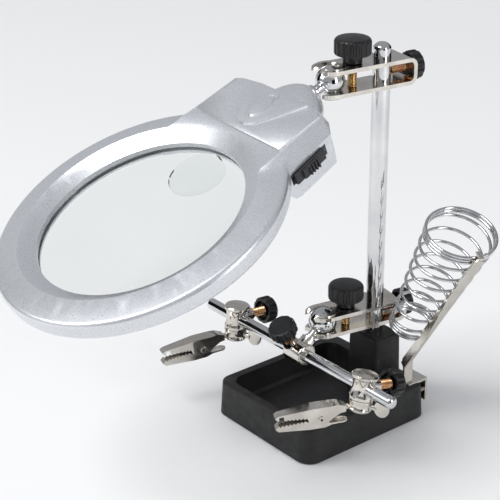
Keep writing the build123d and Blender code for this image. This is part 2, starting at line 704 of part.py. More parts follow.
def joint_body():
    """Cast spool on the bar, with a cap on top and a boss for the screw at its back (+y)."""
    with BuildPart() as body:
        with BuildSketch(Plane.XZ):
            with BuildLine():
                Polyline((0, joint_split), (joint_r, joint_split), (joint_r, joint_split + 1.6))
                waist = ThreePointArc((joint_r, joint_split + 1.6), (joint_waist_r, 0.2),
                                      (joint_r, joint_top - joint_cap_t - 0.6))
                Polyline(waist @ 1, (joint_cap_r, joint_top - joint_cap_t),
                         (joint_cap_r, joint_top - 0.7), (joint_cap_r - 0.7, joint_top),
                         (0, joint_top), (0, joint_split))
            make_face()
        revolve(axis=Axis.Z)
        with Locations(Plane(origin=(0, 0, 0), x_dir=(1, 0, 0), z_dir=(0, 1, 0))):
            Cylinder(joint_boss_r, joint_boss_y, align=BASE_UP)
            Cylinder(screw_r + bore_gap, joint_boss_y + 4, align=BASE_UP, mode=Mode.SUBTRACT)
        Cylinder(bar_r + bore_gap, 40, rotation=(0, 90, 0), mode=Mode.SUBTRACT)
        with Locations((0, 0, joint_split)):
            Cylinder(1.5, 2.4, align=BASE_UP, mode=Mode.SUBTRACT)
        for turn in (-50, -130):
            for up in (1, -1):
                with BuildSketch(pocket_plane(turn, 0.3)):
                    with BuildLine():
                        Polyline((-2.3, 4.4 * up), (2.3, 4.4 * up), (0, 1.2 * up), close=True)
                    make_face()
                extrude(amount=4, mode=Mode.SUBTRACT)
    return body.part


def joint_ring():
    """Lower half of the joint; it turns on a pin and holds the clip's tail and the wing screw."""
    with BuildPart() as ring:
        with BuildSketch(Plane.XZ):
            with BuildLine():
                Polyline((0, joint_split - 0.3), (joint_r, joint_split - 0.3),
                         (joint_r, joint_split - 1.7))
                waist = ThreePointArc((joint_r, joint_split - 1.7),
                                      (joint_waist_r + 0.3, ring_centre),
                                      (joint_r, joint_bottom + 2.0))
                dome = ThreePointArc(waist @ 1, (joint_r - 1.0, joint_bottom + 0.5),
                                     (joint_r - 3.0, joint_bottom))
                Polyline(dome @ 1, (0, joint_bottom), (0, joint_split - 0.3))
            make_face()
        revolve(axis=Axis.Z)
        with Locations((0, 0, joint_split - 2.8)):
            Cylinder(1.5 + bore_gap, 4, align=BASE_UP, mode=Mode.SUBTRACT)
        for turn in (-48, 95, 165):
            with BuildSketch(pocket_plane(turn, ring_centre)):
                with BuildLine():
                    Polyline((-1.7, -1.6), (1.7, -1.6), (0, 1.8), close=True)
                make_face()
            extrude(amount=4, mode=Mode.SUBTRACT)
    return ring.part


def swivel_pin():
    with BuildPart() as pin:
        with Locations((0, 0, joint_split - 2.4)):
            Cylinder(1.5, 4.8, align=BASE_UP)
    return pin.part


def wing_screw():
    """Screw with a flat oval wing; z runs from its tip to the wing."""
    with BuildPart() as screw:
        with Locations((0, 0, 2.4)):
            Cylinder(1.6, 7.4, align=BASE_UP)
        with BuildSketch(Plane.XZ):
            with Locations((0, 12.6)):
                Ellipse(4.9, 4.3)
        extrude(amount=0.9, both=True)
        fillet(screw.faces().filter_by(Axis.Y).edges().filter_by(GeomType.ELLIPSE), 0.4)
    return screw.part


# ---------------------------------------------------------------- alligator clips
def toothed(start, end, side):
    """Points of a row of teeth from start to end; side is +1 for teeth that point up."""
    run = [(end[0] - start[0]) / teeth, (end[1] - start[1]) / teeth]
    points = []
    for k in range(teeth):
        points.append((start[0] + k * run[0], start[1] + k * run[1]))
        points.append((start[0] + (k + 0.5) * run[0], start[1] + (k + 0.5) * run[1]
                       + side * tooth_h))
    return points + [end]


def clip_frame():
    """Upper jaw with its cheeks and tail; x runs from the joint to the tip, z up."""
    outline = [(8.0, 1.8), (12.0, 3.6), (26.0, 3.8), (45.0, 2.0), (46.6, 0.9)]
    outline += toothed((46.0, 0.0), (29.6, -1.2), -1)
    outline += [(28.4, -4.2), (25.0, -6.4), (19.2, -6.4), (15.8, -3.8), (11.0, -1.8), (8.0, -1.6)]
    with BuildPart() as jaw:
        with BuildSketch(Plane.XZ):
            with BuildLine():
                Polyline(*outline, close=True)
            make_face()
        extrude(amount=clip_w / 2, both=True)
        with BuildSketch(Plane.XY.offset(-20)):
            with BuildLine():
                Polyline((6, -2.4), (11.0, -2.9), (16, -clip_w / 2), (28, -clip_w / 2),
                         (47, -clip_tip_w / 2), (47, clip_tip_w / 2), (28, clip_w / 2),
                         (16, clip_w / 2), (11.0, 2.9), (6, 2.4), close=True)
            make_face()
        extrude(amount=40, mode=Mode.INTERSECT)
        with BuildSketch(Plane.XZ):
            with BuildLine():
                Polyline((13.0, 2.8), (26.0, 3.0), (44.4, 1.2), (44.4, -20), (13.0, -20),
                         close=True)
            make_face()
        extrude(amount=clip_w / 2 - clip_sheet, both=True, mode=Mode.SUBTRACT)
        with Locations((36, 0, -10)):
            Box(17, clip_tip_w - 2 * clip_sheet, 11.2, align=BASE_UP, mode=Mode.SUBTRACT)
        with Locations((3.2, 0, 0)):
            Cylinder(tail_r, 8, rotation=(0, 90, 0), align=BASE_UP)
        with Locations((clip_pivot[0], 0, clip_pivot[1])):
            Cylinder(1.2, 20, rotation=(90, 0, 0), mode=Mode.SUBTRACT)
    return jaw.part


def clip_jaw():
    """Lower jaw with its thumb lever, which turns on the rivet inside the cheeks."""
    outline = [(46.8, -6.0), (45.2, -7.6), (28.0, -9.2), (20.0, -9.2), (16.2, -8.0),
               (10.0, -7.8), (10.0, -7.0), (17.0, -7.0), (19.4, -5.0), (19.4, -1.4), (24.0, -1.4),
               (28.4, -4.4)]
    outline += toothed((29.4, -4.4), (46.0, -5.2), 1)
    with BuildPart() as jaw:
        with BuildSketch(Plane.XZ):
            with BuildLine():
                Polyline(*outline, close=True)
            make_face()
        extrude(amount=jaw_w / 2, both=True)
        with BuildSketch(Plane.XZ):
            with BuildLine():
                Polyline((15.6, -6.4), (18.0, -8.3), (27.8, -8.4), (44.6, -6.9), (44.6, 0),
                         (15.6, 0), close=True)
            make_face()
        extrude(amount=jaw_w / 2 - clip_sheet, both=True, mode=Mode.SUBTRACT)
        with BuildSketch(Plane.XY.offset(-7.8)):
            with Locations((11.0, 0)):
                Ellipse(3.6, 2.9)
            with Locations((14.0, 0)):
                Rectangle(6, 3.6)
        extrude(amount=0.8)
        with Locations((clip_pivot[0], 0, clip_pivot[1])):
            Cylinder(1.2 + bore_gap, 20, rotation=(90, 0, 0), mode=Mode.SUBTRACT)
    return jaw.part


def clip_rivet():
    with BuildPart() as rivet:
        with Locations((clip_pivot[0], 0, clip_pivot[1])):
            Cylinder(1.2, clip_w + 1.2, rotation=(90, 0, 0))
            with Locations((0, clip_w / 2 + 0.3, 0), (0, -clip_w / 2 - 0.3, 0)):
                Cylinder(1.9, 0.6, rotation=(90, 0, 0))
            Cylinder(0.6, clip_w + 2, rotation=(90, 0, 0), mode=Mode.SUBTRACT)
    return rivet.part


def clip_spring():
    """Coils of the clip's spring, round the rivet between the jaw's walls."""
    with BuildPart() as spring:
        with Locations((clip_pivot[0], 0, clip_pivot[1])):
            for k in range(-2, 3):
                with Locations(Plane(origin=(0, 0.66 * k, 0), z_dir=(0, 1, 0))):
                    Torus(1.7, 0.34)
    return spring.part


def joint_with_clip(name, x, lean, clip_turn, clip_drop, wing_turn):
    """One swivel joint with its clip, all set out from the joint's place on the bar."""
    tilt = radians(lean)
    joint = Plane(origin=(x, bar_y, bar_z), x_dir=(1, 0, 0), z_dir=(0, sin(tilt), cos(tilt)))
    centre = joint.from_local_coords(Vector(0, 0, ring_centre))
    clip = heading(centre, clip_turn, clip_drop)
    # the wing screw lies level, turned from +X towards +Y
    wing = Plane(origin=centre, x_dir=(0, 0, 1),
                 z_dir=(cos(radians(wing_turn)), sin(radians(wing_turn)), 0))
    ring = joint_ring().moved(joint.location)
    ring -= clip.location * Cylinder(tail_r + bore_gap, 12, rotation=(0, 90, 0), align=BASE_UP)
    ring -= wing.location * Cylinder(1.6 + bore_gap, 12, align=BASE_UP)
    ring.label = f"{name}_joint_ring"
    export_step(ring, f"parts/{name}_joint_ring.step")
    save(joint_body(), f"{name}_joint_body", joint)
    save(swivel_pin(), f"{name}_swivel_pin", joint)
    knob = spot(joint, y=joint_knob_y, normal=(0, 1, 0), across=(1, 0, 0))
    save(lobed_knob(), f"{name}_joint_knob", knob)
    save(plain_screw(joint_knob_y - joint_screw_end, 4.0), f"{name}_joint_screw", knob)
    save(wing_screw(), f"{name}_wing_screw", wing)
    save(clip_frame(), f"{name}_clip_frame", clip)
    save(clip_jaw(), f"{name}_clip_jaw", clip)
    save(clip_rivet(), f"{name}_clip_rivet", clip)
    save(clip_spring(), f"{name}_clip_spring", clip)


for side_name, layout in sides.items():
    joint_with_clip(side_name, **layout)


# ---------------------------------------------------------------- soldering iron holder
def coil_point(turns, sweep):
    """A point on the coil's wire: close turns at each end and open turns between."""
    close_pitch = 2.15 * wire_r / length_of_coil
    open_pitch = (1 - 2 * close_turns * close_pitch) / open_turns
    t = min(turns, close_turns) * close_pitch
    t += max(0.0, min(turns - close_turns, open_turns)) * open_pitch
    t += max(0.0, turns - close_turns - open_turns) * close_pitch
    centre = Vector(*coil_bottom) + (Vector(*coil_top) - Vector(*coil_bottom)) * t
    r = coil_bottom_r + (coil_top_r - coil_bottom_r) * t
    return centre + ring_plane.x_dir * (r * cos(sweep)) + ring_plane.y_dir * (r * sin(sweep))


ring_plane = Plane(origin=coil_bottom, z_dir=ring_normal)
length_of_coil = (Vector(*coil_top) - Vector(*coil_bottom)).dot(ring_plane.z_dir)


def iron_holder_coil():
    total = 2 * close_turns + open_turns
    steps = int(total * steps_per_turn)
    turn = 2 * pi / steps_per_turn
    points = [coil_point(k / steps_per_turn, k * turn) for k in range(steps + 1)]
    runs = [(b - a).length for a, b in zip(points, points[1:])]
    radii = []
    for k in range(1, len(points) - 1):
        bend = (points[k] - points[k - 1]).get_angle(points[k + 1] - points[k])
        radii.append(0.45 * min(runs[k - 1], runs[k]) / tan(radians(bend / 2)))
    with BuildPart() as coil:
        with BuildLine() as wire:
            FilletPolyline(*points, radius=radii)
        with BuildSketch(Plane(origin=wire.line @ 0, z_dir=wire.line % 0)):
            Circle(wire_r)
        sweep(path=wire.line)
    return coil.part


def iron_holder_bracket():
    """Strip behind the coil with a stiffening flange and a hook, and its saddle on the base."""
    foot, top = Vector(*strip_foot), Vector(*strip_head)
    along = (top - foot).normalized()
    across = along.cross(Vector(*strip_out)).normalized()
    outward = across.cross(along)
    length = (top - foot).length
    middle = foot + outward * (wire_r + strip_t / 2 - 0.15)
    strip = Plane(origin=middle, x_dir=across, z_dir=along)
    flange = Plane(origin=middle - across * (strip_w / 2), x_dir=along, z_dir=across)
    rise = -1 if flange.y_dir.dot(outward) < 0 else 1
    saddle_z = base_h + 0.1
    back_y = base_l / 2 + 0.1
    with BuildPart() as bracket:
        with BuildSketch(strip):
            Rectangle(strip_w, strip_t)
        extrude(amount=length)
        with BuildSketch(flange):
            with BuildLine():
                Polyline((-2, 0), (-2, 4.4 * rise), (26, 4.8 * rise), (60, 0.5 * rise), (60, 0),
                         close=True)
            make_face()
        extrude(amount=strip_t * 0.8)
        with BuildSketch(strip.offset(length)):
            Rectangle(3.2, 1.0)
        extrude(amount=2.6)
        with BuildSketch(strip.offset(length + 1.7)):
            with Locations((0, 2.2)):
                Rectangle(3.2, 4.4)
        extrude(amount=0.9)
        # upright, saddle and the flange down the base's back
        with Locations((middle.X, middle.Y + 0.6, saddle_z)):
            Box(strip_t, strip_w, middle.Z - saddle_z + 1.6, align=BASE_UP)
        with Locations(((saddle_left + saddle_right) / 2, (33.0 + back_y + strip_t) / 2,
                        saddle_z)):
            Box(saddle_right - saddle_left, back_y + strip_t - 33.0, strip_t, align=BASE_UP)
        with Locations(((saddle_left + saddle_right) / 2, back_y + strip_t / 2, 8.0)):
            Box(saddle_right - saddle_left, strip_t, saddle_z - 7.0, align=BASE_UP)
        with Locations(Plane(origin=(holder_screw_x, back_y, holder_screw_z), z_dir=(0, 1, 0))):
            Cylinder(1.9, 8, mode=Mode.SUBTRACT)
    return bracket.part


def iron_holder_screw():
    """Dome-headed screw through the bracket into the base's back; z points out of the base."""
    with BuildPart() as screw:
        with BuildSketch(Plane.XZ):
            with BuildLine():
                Polyline((0, -7), (1.9, -7), (1.9, 0), (3.6, 0))
                dome = ThreePointArc((3.6, 0), (2.6, 1.7), (0, 2.5))
                Line(dome @ 1, (0, -7))
            make_face()
        revolve(axis=Axis.Z)
        with Locations((0, 0, 2.6)):
            Box(3.2, 0.7, 2.0, mode=Mode.SUBTRACT)
            Box(0.7, 3.2, 2.0, mode=Mode.SUBTRACT)
    return screw.part


save(iron_holder_coil(), "iron_holder_coil")
save(iron_holder_bracket(), "iron_holder_bracket")
save(iron_holder_screw(), "iron_holder_screw",
     Plane(origin=(holder_screw_x, base_l / 2 + 0.1 + strip_t, holder_screw_z),
           z_dir=(0, 1, 0)))
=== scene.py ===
import json
from math import cos, pi, radians, sin, sqrt

import bmesh
import bpy
import numpy as np
from mathutils import Matrix, Vector


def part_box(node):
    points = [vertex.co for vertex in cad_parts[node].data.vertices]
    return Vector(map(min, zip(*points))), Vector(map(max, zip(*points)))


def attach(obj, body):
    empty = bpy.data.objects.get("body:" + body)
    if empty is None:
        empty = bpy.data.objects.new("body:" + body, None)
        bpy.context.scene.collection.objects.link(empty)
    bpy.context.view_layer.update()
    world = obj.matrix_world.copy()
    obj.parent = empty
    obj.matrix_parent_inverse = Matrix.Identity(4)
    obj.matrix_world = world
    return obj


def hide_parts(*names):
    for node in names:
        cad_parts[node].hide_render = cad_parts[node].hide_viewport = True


MM = 0.001
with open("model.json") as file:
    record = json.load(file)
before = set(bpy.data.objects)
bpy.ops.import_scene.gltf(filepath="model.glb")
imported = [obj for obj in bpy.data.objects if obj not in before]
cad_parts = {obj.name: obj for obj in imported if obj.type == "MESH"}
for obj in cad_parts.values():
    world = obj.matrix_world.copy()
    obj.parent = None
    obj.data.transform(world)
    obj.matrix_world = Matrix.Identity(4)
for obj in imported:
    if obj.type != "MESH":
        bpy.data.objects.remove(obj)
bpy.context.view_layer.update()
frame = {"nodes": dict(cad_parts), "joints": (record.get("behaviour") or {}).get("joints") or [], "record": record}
body_of = {n: b for b, ns in frame["record"]["behaviour"]["bodies"].items() for n in ns}
joints = {j["name"]: j for j in frame["joints"]}


# ---------------------------------------------------------------- materials
def node_graph(name):
    """New material with its node tree, shader node and object coordinates."""
    m = bpy.data.materials.new(name)
    m.use_nodes = True
    tree = m.node_tree
    shader = tree.nodes["Principled BSDF"]
    coord = tree.nodes.new("ShaderNodeTexCoord")
    return m, tree, shader, coord.outputs["Object"]


def noise(tree, coord, scale, detail=3.0):
    """Output of a noise texture; scale is in cycles per metre."""
    n = tree.nodes.new("ShaderNodeTexNoise")
    n.inputs["Scale"].default_value = scale
    n.inputs["Detail"].default_value = detail
    tree.links.new(coord, n.inputs["Vector"])
    return n.outputs["Fac"]


def ranged(tree, value, low, high, start=0.3, end=0.7):
    """value from start to end mapped to low to high."""
    r = tree.nodes.new("ShaderNodeMapRange")
    for name, v in (("From Min", start), ("From Max", end), ("To Min", low), ("To Max", high)):
        r.inputs[name].default_value = v
    tree.links.new(value, r.inputs["Value"])
    return r.outputs["Result"]


def blended(tree, value, a, b, start=0.35, end=0.65):
    """Colour a where value is below start, b above end, and a blend between."""
    ramp = tree.nodes.new("ShaderNodeValToRGB")
    ramp.color_ramp.elements[0].position = start
    ramp.color_ramp.elements[1].position = end
    ramp.color_ramp.elements[0].color = (*a, 1)
    ramp.color_ramp.elements[1].color = (*b, 1)
    tree.links.new(value, ramp.inputs["Fac"])
    return ramp.outputs["Color"]


def bumped(tree, shader, value, depth, strength):
    """Fine relief on the shader's normal; depth is in mm."""
    b = tree.nodes.new("ShaderNodeBump")
    b.inputs["Strength"].default_value = strength
    b.inputs["Distance"].default_value = depth * MM
    tree.links.new(value, b.inputs["Height"])
    tree.links.new(b.outputs["Normal"], shader.inputs["Normal"])


def metal(name, dark, light, rough, rough_high, scale=60, wear=900, depth=0.02):
    """Plated metal: broad colour drift, patches of roughness and fine scuffs."""
    m, tree, shader, coord = node_graph(name)
    shader.inputs["Metallic"].default_value = 1.0
    tree.links.new(blended(tree, noise(tree, coord, scale), dark, light), shader.inputs["Base Color"])
    tree.links.new(ranged(tree, noise(tree, coord, scale * 3, 5), rough, rough_high),
                   shader.inputs["Roughness"])
    bumped(tree, shader, noise(tree, coord, wear, 4), depth, 0.5)
    return m


def cast_black():
    """Black paint over cast iron, with the grain of the casting."""
    m, tree, shader, coord = node_graph("cast_black")
    tree.links.new(blended(tree, noise(tree, coord, 90, 4), (0.004, 0.004, 0.0045),
                           (0.009, 0.009, 0.0095)), shader.inputs["Base Color"])
    tree.links.new(ranged(tree, noise(tree, coord, 220, 4), 0.42, 0.60), shader.inputs["Roughness"])
    bumped(tree, shader, noise(tree, coord, 1500), 0.16, 0.8)
    return m


def black_plastic(name, base, rough, rough_high, depth=0.03):
    """Dark moulded plastic or rubber with a faint mottle and a fine grain."""
    m, tree, shader, coord = node_graph(name)
    light = tuple(c * 1.8 for c in base)
    tree.links.new(blended(tree, noise(tree, coord, 250, 4), base, light), shader.inputs["Base Color"])
    tree.links.new(ranged(tree, noise(tree, coord, 180, 4), rough, rough_high),
                   shader.inputs["Roughness"])
    bumped(tree, shader, noise(tree, coord, 2600, 2), depth, 0.5)
    return m


def silver_plastic():
    """Metallic paint: fine flakes of differing brightness under a thin clear coat."""
    m, tree, shader, coord = node_graph("silver_plastic")
    flakes = tree.nodes.new("ShaderNodeTexVoronoi")
    flakes.inputs["Scale"].default_value = 3200
    tree.links.new(coord, flakes.inputs["Vector"])
    split = tree.nodes.new("ShaderNodeSeparateColor")
    tree.links.new(flakes.outputs["Color"], split.inputs["Color"])
    tree.links.new(blended(tree, split.outputs["Red"], (0.64, 0.66, 0.69), (0.76, 0.78, 0.81),
                           0.0, 1.0), shader.inputs["Base Color"])
    tree.links.new(ranged(tree, split.outputs["Green"], 0.27, 0.40, 0, 1),
                   shader.inputs["Roughness"])
    shader.inputs["Metallic"].default_value = 0.7
    shader.inputs["Coat Weight"].default_value = 0.25
    shader.inputs["Coat Roughness"].default_value = 0.22
    bumped(tree, shader, split.outputs["Blue"], 0.02, 0.3)
    return m


def lens_material(name, bend):
    """Clear acrylic that bends light by bend, its refractive index."""
    m, tree, shader, coord = node_graph(name)
    shader.inputs["Transmission Weight"].default_value = 1.0
    shader.inputs["IOR"].default_value = bend
    tree.links.new(blended(tree, noise(tree, coord, 20), (0.90, 0.925, 0.912), (0.93, 0.945, 0.935)),
                   shader.inputs["Base Color"])
    tree.links.new(ranged(tree, noise(tree, coord, 150, 4), 0.0, 0.02), shader.inputs["Roughness"])
    return m


def board_green():
    """Solder mask of the lamp board."""
    m, tree, shader, coord = node_graph("circuit_board")
    tree.links.new(blended(tree, noise(tree, coord, 400), (0.02, 0.12, 0.06), (0.03, 0.2, 0.1)),
                   shader.inputs["Base Color"])
    tree.links.new(ranged(tree, noise(tree, coord, 900), 0.25, 0.4), shader.inputs["Roughness"])
    return m


looks = {
    "cast_black": cast_black(),
    "pad_rubber": black_plastic("pad_rubber", (0.02, 0.02, 0.02), 0.7, 0.9, 0.1),
    "chrome": metal("chrome", (0.62, 0.63, 0.64), (0.74, 0.74, 0.74), 0.04, 0.10),
    "nickel": metal("nickel", (0.58, 0.54, 0.49), (0.72, 0.69, 0.64), 0.09, 0.20, 90, 700, 0.05),
    "plain_steel": metal("plain_steel", (0.5, 0.5, 0.5), (0.65, 0.65, 0.64), 0.25, 0.4),
    "yellow_zinc": metal("yellow_zinc", (0.62, 0.42, 0.20), (0.80, 0.60, 0.34), 0.16, 0.3, 200),
    "knob_black": black_plastic("knob_black", (0.0035, 0.0035, 0.004), 0.30, 0.42),
    "silver_plastic": silver_plastic(),
    "lens": lens_material("lens", 1.22),
    "switch_black": black_plastic("switch_black", (0.012, 0.012, 0.013), 0.35, 0.5),
    "cell_label": black_plastic("cell_label", (0.05, 0.07, 0.1), 0.3, 0.4),
    "circuit_board": board_green(),
}
weak_lens = lens_material("bifocal_glass", 1.05)
copper = metal("copper_zinc", (0.60, 0.30, 0.14), (0.80, 0.48, 0.28), 0.16, 0.3, 200)
slot_of = {s["node"]: s["material_slot"] for s in frame["record"]["subparts"]}


# ---------------------------------------------------------------- mesh helpers
WELD_GAP, FLAT_ANGLE = 2e-6, 0.4    # metres and degrees


def finish_mesh(name, mesh, node, look=None, sharp=32):
    """Makes the piece that stands for a CAD node, on the node's own body."""
    mesh.validate()
    mesh.shade_smooth()
    mesh.set_sharp_from_angle(angle=radians(sharp))
    o = bpy.data.objects.new(name, mesh)
    bpy.context.scene.collection.objects.link(o)
    mesh.materials.clear()
    mesh.materials.append(look or looks[slot_of[node]])
    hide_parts(node)
    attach(o, body_of[node])
    return o


def remade(node, bevel, look=None, sharp=32):
    """The CAD node's own shape, welded and smoothed, with small edge rounds of bevel mm."""
    bm = bmesh.new()
    bm.from_mesh(frame["nodes"][node].data)
    bmesh.ops.remove_doubles(bm, verts=bm.verts, dist=WELD_GAP)
    bmesh.ops.dissolve_limit(bm, angle_limit=radians(FLAT_ANGLE), verts=bm.verts, edges=bm.edges)
    mesh = bpy.data.meshes.new(node + "_look")
    bm.to_mesh(mesh)
    bm.free()
    o = finish_mesh(node + "_look", mesh, node, look, sharp)
    if bevel:
        b = o.modifiers.new("edges", "BEVEL")
        b.width = bevel * MM
        b.segments = 2
        b.limit_method = "ANGLE"
        b.angle_limit = radians(sharp)
        b.harden_normals = True


def to_mesh(name, points, faces):
    """Mesh from points in mm."""
    mesh = bpy.data.meshes.new(name)
    mesh.from_pydata([tuple(p * MM) for p in points], [], faces)
    return mesh


def axes_of(axis):
    """Unit vectors across, over and along an axis."""
    along = np.array(axis, float) / np.linalg.norm(axis)
    side = np.array((1, 0, 0) if abs(along[0]) < 0.9 else (0, 0, 1), float)
    side -= along * side.dot(along)
    side /= np.linalg.norm(side)
    return side, np.cross(along, side), along


def grid_faces(rows, columns, closed=True):
    """Quads between rows of points; closed joins each row's ends."""
    faces = []
    last = columns if closed else columns - 1
    for i in range(rows - 1):
        for j in range(last):
            k = (j + 1) % columns
            faces.append((i * columns + j, i * columns + k, (i + 1) * columns + k,
                          (i + 1) * columns + j))
    return faces


def rounded(profile, radii, steps=5):
    """The profile with its inner corners rounded; radii gives one radius per inner corner."""
    out = [np.array(profile[0], float)]
    for k, radius in enumerate(radii, 1):
        a, p, b = (np.array(profile[i], float) for i in (k - 1, k, k + 1))
        if not radius:
            out.append(p)
            continue
        u, v = (a - p) / np.linalg.norm(a - p), (b - p) / np.linalg.norm(b - p)
        half = np.arccos(np.clip(u.dot(v), -1, 1)) / 2
        reach = radius / np.tan(half)
        centre = p + (u + v) / np.linalg.norm(u + v) * (radius / np.sin(half))
        s, e = p + u * reach - centre, p + v * reach - centre
        for t in np.linspace(0, 1, steps + 1):
            d = s * (1 - t) + e * t
            out.append(centre + d / np.linalg.norm(d) * radius)
    out.append(np.array(profile[-1], float))
    return out


def end_caps(rows, columns):
    """Faces over the first and the last row of points."""
    return [tuple(range(columns))[::-1], tuple(range((rows - 1) * columns, rows * columns))]


def turned(name, origin, axis, profile, segments=96, cut=None):
    """Mesh of a profile of (radius, height) in mm turned about an axis; cut(angle, r) trims r."""
    across, over, along = axes_of(axis)
    origin = np.array(origin, float)
    points = []
    for r, z in profile:
        for j in range(segments):
            a = 2 * pi * j / segments
            q = cut(a, r) if cut else r
            points.append(origin + along * z + (across * cos(a) + over * sin(a)) * q)
    faces = grid_faces(len(profile), segments) + end_caps(len(profile), segments)
    return to_mesh(name, points, faces)


def grooves(count, centre_r, groove_r):
    """Cut for round grooves down the rim of a knob."""
    def cut(angle, r):
        d = (angle + pi / count) % (2 * pi / count) - pi / count
        y = centre_r * sin(d)
        if abs(y) >= groove_r:
            return r
        return min(r, centre_r * cos(d) - sqrt(groove_r ** 2 - y * y))
    return cut


def threaded_rod(name, origin, axis, low, high, radius, pitch=0.8, depth=0.4, around=40):
    """Rod with a helical thread from low to high along the axis, in mm."""
    across, over, along = axes_of(axis)
    origin = np.array(origin, float)
    end_r = radius - depth * 0.8
    levels = (0.0, 0.5, 1.0, 0.5)      # depth of the thread at each quarter of its pitch
    rows = int((high - low) / pitch + 2) * len(levels)

    def place(a, z, r):
        return origin + along * z + (across * cos(a) + over * sin(a)) * r

    points = []
    for i in range(rows + 1):
        for j in range(around + 1):
            z = low + pitch * (i / len(levels) - 1 + j / around)
            r = radius - depth * levels[i % len(levels)]
            if z <= low or z >= high:
                r = min(r, end_r)
            points.append(place(2 * pi * j / around, min(max(z, low), high), r))
    faces = grid_faces(rows + 1, around + 1, closed=False)
    for z in (low, high):
        ring = tuple(range(len(points), len(points) + around))
        points += [place(2 * pi * j / around, z, end_r) for j in range(around)]
        faces.append(ring if z == high else ring[::-1])
    return to_mesh(name, points, faces)


def swept(name, path, radius, sides=14):
    """Round wire along a path of points, with flat ends."""
    last = len(path) - 1
    side = axes_of(path[1] - path[0])[0]
    points = []
    for i, p in enumerate(path):
        tangent = path[min(i + 1, last)] - path[max(i - 1, 0)]
        tangent /= np.linalg.norm(tangent)
        side = side - tangent * side.dot(tangent)
        side /= np.linalg.norm(side)
        over = np.cross(tangent, side)
        for j in range(sides):
            a = 2 * pi * j / sides
            points.append(p + (side * cos(a) + over * sin(a)) * radius)
    return to_mesh(name, points, grid_faces(len(path), sides) + end_caps(len(path), sides))


def axis_of(joint):
    """A joint's place in mm and its unit axis."""
    j = joints[joint]
    return np.array(j["pos_m"]) / MM, np.array(j["axis"], float) / np.linalg.norm(j["axis"])


def span(node, origin, axis):
    """Lowest and highest place of a CAD node along an axis from origin, in mm."""
    data = frame["nodes"][node].data
    co = np.zeros(len(data.vertices) * 3)
    data.vertices.foreach_get("co", co)
    along = (co.reshape(-1, 3) / MM - origin) @ axis
    return float(along.min()), float(along.max())


# ---------------------------------------------------------------- post, bar, screws and knobs
POST_R, BAR_R, SCREW_R = 5.0, 3.5, 2.6
POST_DOME_R, POST_DOME = 2.6, 1.9      # flat top and height of the post's rounded end
BAR_END_ROUND = 2.2
TIP = 0.01                             # radius where a turned profile meets its axis


def round_bar(name, node, way, profile_of):
    """Replaces a rod along the axis way (0 is x, 2 is z) with one turned from a profile."""
    low, high = (np.array(c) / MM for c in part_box(node))
    origin = (low + high) / 2
    origin[way] = 0
    axis = np.eye(3)[way]
    mesh = turned(name, origin, axis, profile_of(low[way], high[way]))
    finish_mesh(name, mesh, node)


round_bar("post_rod", "post", 2, lambda low, high: rounded(
    [(TIP, low), (POST_R, low), (POST_R, high - POST_DOME), (POST_DOME_R, high), (TIP, high)],
    [0.3, 2.6, 1.2], 8))
round_bar("bar_rod", "crossbar", 0, lambda low, high: rounded(
    [(TIP, low), (BAR_R, low), (BAR_R, high), (TIP, high)], [BAR_END_ROUND, BAR_END_ROUND], 8))

yellow = looks["yellow_zinc"]
for node, joint, look in (
        ("upper_clamp_screw", "upper_knob_turn", yellow), ("lower_clamp_screw", "lower_knob_turn", yellow),
        ("upper_post_screw", "upper_rear_knob_turn", copper),
        ("lower_post_screw", "lower_rear_knob_turn", copper),
        ("collar_screw", "collar_knob_turn", copper),
        ("right_joint_screw", "right_knob_turn", copper), ("left_joint_screw", "left_knob_turn", copper)):
    origin, axis = axis_of(joint)
    low, high = span(node, origin, axis)
    mesh = threaded_rod(node + "_thread", origin, axis, low, high, SCREW_R)
    finish_mesh(node + "_thread", mesh, node, look, 50)


def knob(node, joint, profile, segments, cut):
    """Replaces a knob with one turned from its profile, with grooves cut down its rim."""
    origin, axis = axis_of(joint)
    low, _ = span(node, origin, axis)
    mesh = turned(node + "_moulding", origin + axis * low, axis, profile, segments, cut)
    finish_mesh(node + "_moulding", mesh, node, None, 40)


# radius and height in mm from the hub to a slightly domed head
FLUTED = rounded([(TIP, 0), (5.2, 0), (5.2, 4.5), (10.0, 4.5), (10.0, 13.3), (TIP, 14.0)],
                 [0.4, 0.5, 1.0, 2.2], 6)[:-1] + [(6.0, 13.66), (3.0, 13.9), (TIP, 14.0)]
for node, joint in (("upper_clamp_knob", "upper_knob_turn"), ("lower_clamp_knob", "lower_knob_turn")):
    knob(node, joint, FLUTED, 320, grooves(20, 10.25, 0.95))

# the head is dished, and a ring recess goes round the hub on the screw's side
LOBED = rounded([(TIP, 1.2), (3.9, 1.2), (3.9, 0.0), (4.0, 0.0), (4.0, 2.6), (5.8, 2.6), (5.8, 0.0),
                 (8.0, 0.0), (8.0, 6.6), (TIP, 6.6)], [0, 0, 0, 0, 0, 0.3, 1.1, 1.4], 6)
LOBED = LOBED[:-1] + [(4.5, 6.6), (3.6, 6.3), (TIP, 6.2)]
for node, joint in (("upper_post_knob", "upper_rear_knob_turn"),
                    ("lower_post_knob", "lower_rear_knob_turn"),
                    ("collar_knob", "collar_knob_turn"), ("right_joint_knob", "right_knob_turn"),
                    ("left_joint_knob", "left_knob_turn")):
    knob(node, joint, LOBED, 288, grooves(12, 8.6, 1.5))


# ---------------------------------------------------------------- soldering iron coil
WIRE_R = 0.9
COIL_LOW, COIL_LOW_R = np.array((32.2, 37.6, 56.7)), 11.8
COIL_HIGH, COIL_HIGH_R = np.array((62.4, 43.0, 122.8)), 19.6
RING_NORMAL = np.array((0.351, -0.123, 0.928)) / np.linalg.norm((0.351, -0.123, 0.928))
CLOSE_TURNS, OPEN_TURNS = 2.5, 7


